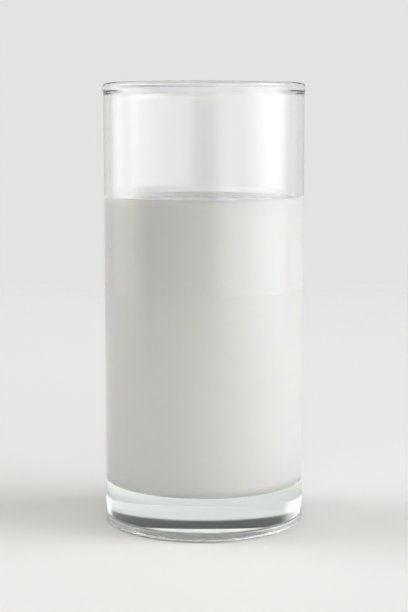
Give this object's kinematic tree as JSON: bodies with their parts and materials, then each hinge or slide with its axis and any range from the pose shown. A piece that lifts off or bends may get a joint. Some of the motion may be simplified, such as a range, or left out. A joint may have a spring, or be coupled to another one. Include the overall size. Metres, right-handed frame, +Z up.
{
  "type": "glass of milk",
  "caption": "Straight-sided clear highball tumbler with a thick base and a rounded rim, filled three quarters up with white milk.",
  "frame": {"origin": "middle of the circle that the glass stands on, at the level of the foot", "axes": "+Z up along the axis of the glass; it is round, so +X and +Y are any two directions across"},
  "size_m": [0.065, 0.065, 0.142],
  "materials": {
    "clear_glass": "clear polished soda-lime glass with a fire-polished rim",
    "milk": "opaque white liquid, smooth and slightly glossy"
  },
  "bodies": {
    "root": {"tumbler": "clear_glass", "milk": "milk"}
  },
  "joints": []
}
